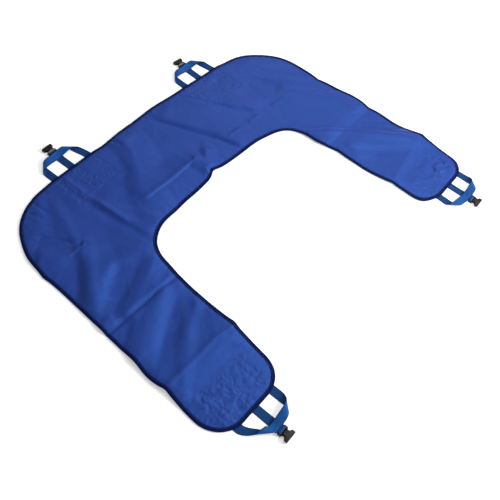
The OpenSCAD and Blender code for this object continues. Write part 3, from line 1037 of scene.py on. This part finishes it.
def buckle_shape():
    """Socket half of a side-release buckle: webbing bar and arms, waisted body, open mouth with a lip."""
    rear, mouth, lip_v = 82.3, 107, 104.5
    body = []
    sections = [np.linspace(rear, 86, 6), np.linspace(86.5, 100, 28), np.linspace(101, mouth, 7)]
    for v in np.concatenate(sections):
        widening = float(ease((v - 92.5) / 6.5))
        narrow = float(ease((v - 85) / 5) * (1 - ease((v - 92.5) / 6.5)))
        half_w = 14.4 + 3.0 * widening - 4.6 * narrow
        lip = 0.35 if v >= lip_v else 0.0
        crown = 0.5 * math.sin(math.pi * (v - rear) / (mouth - rear))
        sloped = 4.6 * (1 - float(ease((v - rear) / 5.5)))
        low, high = 0.25 - lip * 0.6, 9.5 + crown + lip - sloped
        body.append((v * MM, (half_w + lip * 0.5) * MM, low * MM, high * MM))
    socket = lofted("socket", body, 3.0 * MM)
    arms = [block("arm", u * MM, 2.6 * MM, 75.8 * MM, 86 * MM, 1.0 * MM, 4.9 * MM) for u in (-14.3, 14.3)]
    ribs = [block("rib", u * MM, 1.0 * MM, 88 * MM, 98 * MM, 9.2 * MM, 10.4 * MM) for u in (-5.5, 0, 5.5)]
    angles = np.arange(24) * math.pi / 12
    round_bar = [(BAR_V + BAR_R * math.cos(a), BAR_Z + BAR_R * math.sin(a)) for a in angles]
    verts = [(u, v, z) for u in (-14.8 * MM, 14.8 * MM) for v, z in round_bar]
    bar = new_object("bar", verts, tube_faces(2, len(round_bar)), False)
    combine(socket, [*arms, bar, *ribs], "UNION")
    hollow = ((87, 13.2, 2.1, 8.1), (102, 14.0, 2, 8.2), (108, 14.8, 1.7, 8.6))
    cavity = lofted("cavity", [[k * MM for k in station] for station in hollow], 1.2 * MM)
    combine(socket, [cavity], "DIFFERENCE")
    soften = socket.modifiers.new("soften", "BEVEL")
    soften.width = 0.35 * MM
    soften.segments = 2
    soften.limit_method = "ANGLE"
    soften.angle_limit = math.radians(38)
    apply_modifiers(socket)
    socket.data.shade_smooth()
    socket.data.set_sharp_from_angle(angle=math.radians(50))
    return socket


def buckle(name, shape):
    """A copy of the socket at one handle."""
    origin, right, _ = handle_frames[name]
    turn = Matrix.Translation((*origin, 0)) @ Matrix.Rotation(math.atan2(right[1], right[0]), 4, "Z")
    obj = bpy.data.objects.new(f"{name}_socket", shape.data.copy())
    bpy.context.scene.collection.objects.link(obj)
    obj.data.transform(turn)
    return obj


# ---------------------------------------------------------------- materials

class Material:
    """A Principled material, and short ways to add nodes to it."""

    def __init__(self, name, base, roughness, **values):
        self.mat = bpy.data.materials.new(name)
        self.mat.use_nodes = True
        self.tree = self.mat.node_tree
        self.inputs = self.tree.nodes["Principled BSDF"].inputs
        self.fill(self.inputs, Base_Color=(*base, 1), Roughness=roughness, **values)

    def put(self, socket, value):
        """Sets an input to a value, or links another node's output to it."""
        if isinstance(value, bpy.types.NodeSocket):
            self.tree.links.new(value, socket)
        else:
            socket.default_value = value

    def fill(self, sockets, **values):
        for key, value in values.items():
            self.put(sockets[key.replace("_", " ")], value)

    def add(self, kind, *first, settings=(), **values):
        """A new node: its first inputs in order, its settings, and other inputs by name."""
        made = self.tree.nodes.new(f"ShaderNode{kind}")
        for key, value in dict(settings).items():
            setattr(made, key, value)
        for socket, value in zip(made.inputs, first):
            self.put(socket, value)
        self.fill(made.inputs, **values)
        return made.outputs

    def calc(self, operation, a, b=0.5, clamp=False):
        return self.add("Math", a, b, settings={"operation": operation, "use_clamp": clamp})[0]

    def weigh(self, a, b, share):
        """share of a and the rest of b."""
        return self.calc("ADD", self.calc("MULTIPLY", a, share), self.calc("MULTIPLY", b, 1 - share))

    def noise(self, coords, scale, detail=3.0, rough=0.55, distortion=0.0):
        values = {"Scale": scale, "Detail": detail, "Roughness": rough, "Distortion": distortion}
        return self.add("TexNoise", coords, **values)["Fac"]

    def between(self, source, low, high):
        """A source of 0 to 1, as low to high."""
        return self.add("MapRange", source, To_Min=low, To_Max=high)[0]

    def ramp(self, source, low, high, at=(0.3, 0.7)):
        made = self.tree.nodes.new("ShaderNodeValToRGB")
        for element, position, colour in zip(made.color_ramp.elements, at, (low, high)):
            element.position = position
            element.color = (*colour, 1)
        self.put(made.inputs["Fac"], source)
        return made.outputs["Color"]

    def threads(self, coords, *scales):
        """A wave across u and one across v, of so many threads a metre each."""
        split = self.add("SeparateXYZ", coords)
        turns = [self.calc("MULTIPLY", split[k], 2 * math.pi * scale) for k, scale in enumerate(scales)]
        return [self.calc("SINE", turn) for turn in turns]

    def emboss(self, *reliefs):
        """Bumps laid over each other, each a height, its strength and its distance."""
        normal = None
        for height, strength, distance in reliefs:
            under = {} if normal is None else {"Normal": normal}
            normal = self.add("Bump", Strength=strength, Distance=distance, Height=height, **under)["Normal"]
        self.fill(self.inputs, Normal=normal)


def coated_nylon(name, light, dark):
    """Royal blue coated nylon: satin, with fine crinkles, a close weave and slightly uneven colour."""
    nylon = Material(name, light, 0.4, Sheen_Weight=0.05, Sheen_Roughness=0.4, Specular_IOR_Level=0.5)
    nylon.fill(nylon.inputs, Sheen_Tint=(0.2, 0.4, 1.0, 1), Specular_Tint=(0.08, 0.37, 1.0, 1))
    coords = nylon.add("TexCoord")["Object"]
    broad = nylon.noise(coords, 7.0, 3.0, 0.5, 0.4)
    fine = nylon.noise(coords, 60.0, 4.0, 0.6)
    colour = nylon.ramp(nylon.weigh(broad, fine, 0.75), dark, light, (0.36, 0.64))
    nylon.fill(nylon.inputs, Base_Color=colour, Roughness=nylon.between(fine, 0.36, 0.46))
    # crinkles: edges of a bent cell pattern, broken up so that they come and go
    wobble = nylon.add("TexNoise", coords, Scale=9.0, Detail=2.0)["Color"]
    linear = {"blend_type": "LINEAR_LIGHT"}
    bent = nylon.add("MixRGB", settings=linear, Fac=0.035, Color1=coords, Color2=wobble)[0]
    edges = {"feature": "DISTANCE_TO_EDGE"}
    cells = nylon.add("TexVoronoi", bent, settings=edges, Scale=16.0)["Distance"]
    line = nylon.calc("SUBTRACT", 1.0, nylon.calc("MULTIPLY", cells, 7.0), clamp=True)
    patches = nylon.noise(coords, 5.0, 2.0)
    kept = nylon.calc("MULTIPLY", nylon.calc("SUBTRACT", patches, 0.42, clamp=True), 4.0, clamp=True)
    crinkle = nylon.calc("MULTIPLY", line, kept)
    soft = nylon.noise(coords, 24.0, 4.0, 0.55, 0.6)
    cloth = nylon.calc("MULTIPLY", *nylon.threads(coords, 1400.0, 1400.0))
    nylon.emboss((soft, 0.35, 1.6 * MM), (crinkle, 0.45, 0.9 * MM), (cloth, 0.12, 0.08 * MM))
    return nylon.mat


def woven(name, light, dark, ribs, rib_depth, rough, sheen, specular, inner=None):
    """Tape or webbing with ribs across it. inner is the dark and the light of a lighter colour painted on its
    inner face, as a painted sheen.
    """
    web = Material(name, light, rough, Sheen_Weight=sheen, Sheen_Roughness=0.4, Specular_IOR_Level=specular)
    web.fill(web.inputs, Sheen_Tint=(0.25, 0.5, 1.0, 1), Specular_Tint=(0.15, 0.6, 1.0, 1))
    coords = web.add("TexCoord")["UV"]
    ribbed, yarns = web.threads(coords, ribs, ribs * 1.6)
    level = web.calc("ADD", web.calc("MULTIPLY", web.weigh(ribbed, yarns, 0.65), 0.5), 0.5, clamp=True)
    tone = web.weigh(level, web.noise(coords, 45.0), 0.55)
    colour = web.ramp(tone, dark, light, (0.25, 0.75))
    # The inner face gets lighter colours: a painted sheen where the loops' crossings turn that face up
    if inner is not None:
        across = web.add("SeparateXYZ", coords)[1]
        on_inner = web.calc("GREATER_THAN", across, 0.5)
        painted_sheen_colour = web.ramp(tone, *inner, (0.25, 0.75))
        faces = web.add("MixRGB", Fac=on_inner, Color1=colour, Color2=painted_sheen_colour)[0]
        away = web.calc("ABSOLUTE", web.calc("SUBTRACT", across, on_inner))
        past = web.calc("SUBTRACT", away, 9.6 * MM)
        at_edge = web.calc("MULTIPLY", past, 1 / (1.6 * MM), clamp=True)
        colour = web.add("MixRGB", Fac=at_edge, Color1=faces, Color2=(0.003, 0.010, 0.055, 1))[0]
    web.fill(web.inputs, Base_Color=colour)
    web.emboss((level, 0.6, rib_depth), (web.noise(coords, 900.0), 0.25, 0.12 * MM))
    return web.mat


def thread_material():
    sewn = Material("sewing_thread", (0.03, 0.06, 0.28), 0.45, Sheen_Weight=0.2)
    coords = sewn.add("TexCoord")["Object"]
    colour = sewn.ramp(sewn.noise(coords, 300.0), (0.025, 0.06, 0.30), (0.06, 0.13, 0.45))
    sewn.fill(sewn.inputs, Base_Color=colour)
    sewn.emboss((sewn.noise(coords, 2500.0), 0.4, 0.1 * MM))
    return sewn.mat


def buckle_material():
    plastic = Material("moulded_acetal", (0.010, 0.009, 0.009), 0.42, Specular_IOR_Level=0.3)
    coords = plastic.add("TexCoord")["Object"]
    smear = plastic.noise(coords, 90.0)
    colour = plastic.ramp(smear, (0.007, 0.007, 0.007), (0.014, 0.013, 0.012))
    plastic.fill(plastic.inputs, Base_Color=colour, Roughness=plastic.between(smear, 0.3, 0.48))
    plastic.emboss((plastic.noise(coords, 1500.0, 3.0, 0.6), 0.25, 0.06 * MM))
    return plastic.mat


def foam_material():
    foam = Material("interlining_foam", (0.75, 0.74, 0.68), 0.9)
    pores = foam.add("TexVoronoi", foam.add("TexCoord")["Object"], Scale=700.0)["Distance"]
    foam.fill(foam.inputs, Base_Color=foam.ramp(pores, (0.6, 0.59, 0.54), (0.8, 0.79, 0.73)))
    foam.emboss((pores, 0.5, 0.3 * MM))
    return foam.mat


def paint(obj, mat):
    obj.data.materials.clear()
    obj.data.materials.append(mat)


# ---------------------------------------------------------------- build

face_nylon = coated_nylon("coated_nylon", (0.026, 0.061, 0.308), (0.021, 0.052, 0.27))
back_nylon = coated_nylon("backing_nylon", (0.010, 0.032, 0.17), (0.007, 0.024, 0.13))
tape = woven("binding_tape", (0.003, 0.006, 0.075), (0.002, 0.003, 0.045), 900.0, 0.12 * MM, 0.65, 0.02, 0.15)
# Its inner colours are lighter than its outer ones: painted sheen for the loops' crossings
webbing = woven(
    "ribbed_webbing", (0.008, 0.045, 0.20), (0.004, 0.020, 0.10), 700.0, 0.3 * MM, 0.5, 0.06, 0.45,
    inner=((0.008, 0.045, 0.22), (0.014, 0.100, 0.38)),
)
thread = thread_material()
acetal = buckle_material()
foam = foam_material()

# The panel is laid out and settled on a coarse mesh, whose moves are carried to a fine one
sim_plan = panel_plan(8 * MM, (0, 8 * MM), 8.5 * MM)
lying = laid_out(sim_plan)
drift = settle(sim_plan, lying) - lying
far = np.maximum(np.linalg.norm(drift[:, :2], axis=1, keepdims=True), 1e-9)
drift[:, :2] *= np.minimum(1, FURTHEST / far)
lying = lying + drift * (SETTLED_IN_PLAN, SETTLED_IN_PLAN, SETTLED)
lying[:, 2] = np.clip(lying[:, 2], BASE, HIGHEST)

plan = panel_plan(3.4 * MM, RING_DEPTHS, 4.6 * MM, 2.7 * MM)
over_tails = held_flat(plan["points"])
moves = carried(sim_plan, lying, plan["points"])
middle = np.column_stack([plan["points"] + moves[:, :2], moves[:, 2]])
middle[:, 2] += over_tails * (WEB_T + 0.3 * MM) + heights(plan["points"], LINES) * (1 - 0.3 * over_tails)
middle[:, 2] = np.maximum(middle[:, 2], 0.7 * BASE + 0.8 * over_tails * WEB_T)
upper, lower, normals = panel_surfaces(plan, middle)
skin = (upper - lower) / np.linalg.norm(upper - lower, axis=1, keepdims=True)
foam_top = upper - skin * (FABRIC_T + 0.05 * MM)
foam_low = lower + skin * (FABRIC_T + 0.05 * MM)
LAYERS = (
    ("face_fabric", "face_fabric", upper, upper - skin * FABRIC_T, face_nylon, "face_fabric"),
    ("foam_interlining", "foam", foam_top, foam_low, foam, "interlining"),
    ("backing_fabric", "backing_fabric", lower + skin * FABRIC_T, lower, back_nylon, "backing_fabric"),
)
area = flat_area()


def bend_at_fold(obj):
    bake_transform(obj)


# The left half of each layer and of the binding stands for the back's node as well
for side in SIDES:
    faces, loop = plan["faces"][side], half_loop(plan, side)
    for kind, cad, top, bottom, mat, slot_name in LAYERS:
        obj = shell(f"{kind}_{side}", top, bottom, faces, loop)
        paint(obj, mat)
        bend_at_fold(obj)
        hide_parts(f"{side}_leg_{cad}", *([f"back_{cad}"] if side == "left" else []))
    edge, seam_top, seam_low = binding(plan, side, upper, lower, middle, normals)
    paint(edge, tape)
    bend_at_fold(edge)
    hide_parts(f"{side}_leg_edge_binding", *(["back_edge_binding"] if side == "left" else []))
    n = normals[plan["rings"][side][SEAM_RING]]
    top = stitches_along(seam_top + n * 0.1 * MM, n, 3.4 * MM, 0.78)
    low = stitches_along(seam_low - n * 0.1 * MM, -n, 3.4 * MM, 0.78, 1.7 * MM)
    sewn = stitches(f"binding_stitches_{side}", *[np.concatenate(pair) for pair in zip(top, low)], 0.28 * MM)
    paint(sewn, thread)
    bend_at_fold(sewn)

all_faces = plan["faces"]["left"] + plan["faces"]["right"]
face, backing = (BVHTree.FromPolygons([tuple(p) for p in surface], all_faces) for surface in (upper, lower))
socket = buckle_shape()
for name in STATIONS:
    body, own = BODIES[name], f"{name}_handle"
    for obj, cad in (
        (handle_loop(name), ("handle_loop", "strap_tails")),
        (centre_strap(name), ("centre_strap",)),
    ):
        paint(obj, webbing)
        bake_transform(obj)
        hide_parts(*(f"{name}_{c}" for c in cad))
    tack = bartack(name)
    paint(tack, thread)
    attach(tack, own)
    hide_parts(f"{name}_bartacks")
    sewing = tail_stitches(name, face)
    paint(sewing, thread)
    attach(sewing, body)
    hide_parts(f"{name}_tail_stitching")
    patch, patch_size = anchor_patch(name, backing)
    paint(patch, back_nylon)
    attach(patch, body)
    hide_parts(f"{name}_anchor_patch")
    clip = buckle(name, socket)
    paint(clip, acetal)
    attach(clip, f"{name}_buckle")
    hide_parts(f"{name}_buckle_socket")
bpy.data.objects.remove(socket)

# ---------------------------------------------------------------- room, light and camera

floor = square("floor", 12)
pale = Material("pale_floor", (0.93, 0.93, 0.93), 0.9, Specular_IOR_Level=0.1)
pale.fill(pale.inputs, Emission_Color=(1, 1, 1, 1), Emission_Strength=0.4)
paint(floor, pale.mat)

scene = bpy.context.scene
scene.view_settings.view_transform = "Standard"
world = bpy.data.worlds.new("studio")
scene.world = world
world.use_nodes = True
world.node_tree.nodes["Background"].inputs["Color"].default_value = (1, 1, 1, 1)
world.node_tree.nodes["Background"].inputs["Strength"].default_value = 0.21


def soft_light(name, at, size, power, aimed=False):
    """A soft rectangular light that shines straight down, or is aimed at the middle of the scene."""
    data = bpy.data.lights.new(name, "AREA")
    data.shape = "RECTANGLE"
    data.size, data.size_y = size
    data.energy = power
    light = bpy.data.objects.new(name, data)
    scene.collection.objects.link(light)
    light.location = at
    if aimed:
        light.rotation_euler = (-Vector(at)).to_track_quat("-Z", "Y").to_euler()


soft_light("key", (2.2, -3.0, 1.9), (2.0, 1.4), 205, aimed=True)
soft_light("gloss", (1.2, -0.25, 2.2), (2.2, 0.5), 27)
soft_light("far_gloss", (2.3, 1.45, 2.2), (1.6, 0.8), 11)

YAW, PITCH, ROLL = (math.radians(a) for a in (60.19, 55.45, 11.59))
CAMERA_AT = Vector((-1.0142, -0.6332, 1.4631))
forward = Vector((math.sin(YAW) * math.cos(PITCH), math.cos(YAW) * math.cos(PITCH), -math.sin(PITCH)))
right = Vector((math.cos(YAW), -math.sin(YAW), 0))
up = right.cross(forward)
right, up = right * math.cos(ROLL) + up * math.sin(ROLL), up * math.cos(ROLL) - right * math.sin(ROLL)
camera_data = bpy.data.cameras.new("camera")
camera_data.lens = 45.94
camera = bpy.data.objects.new("camera", camera_data)
scene.collection.objects.link(camera)
axes = Matrix((right, up, -forward)).transposed()
camera.matrix_world = Matrix.Translation(CAMERA_AT) @ axes.to_4x4()
scene.camera = camera
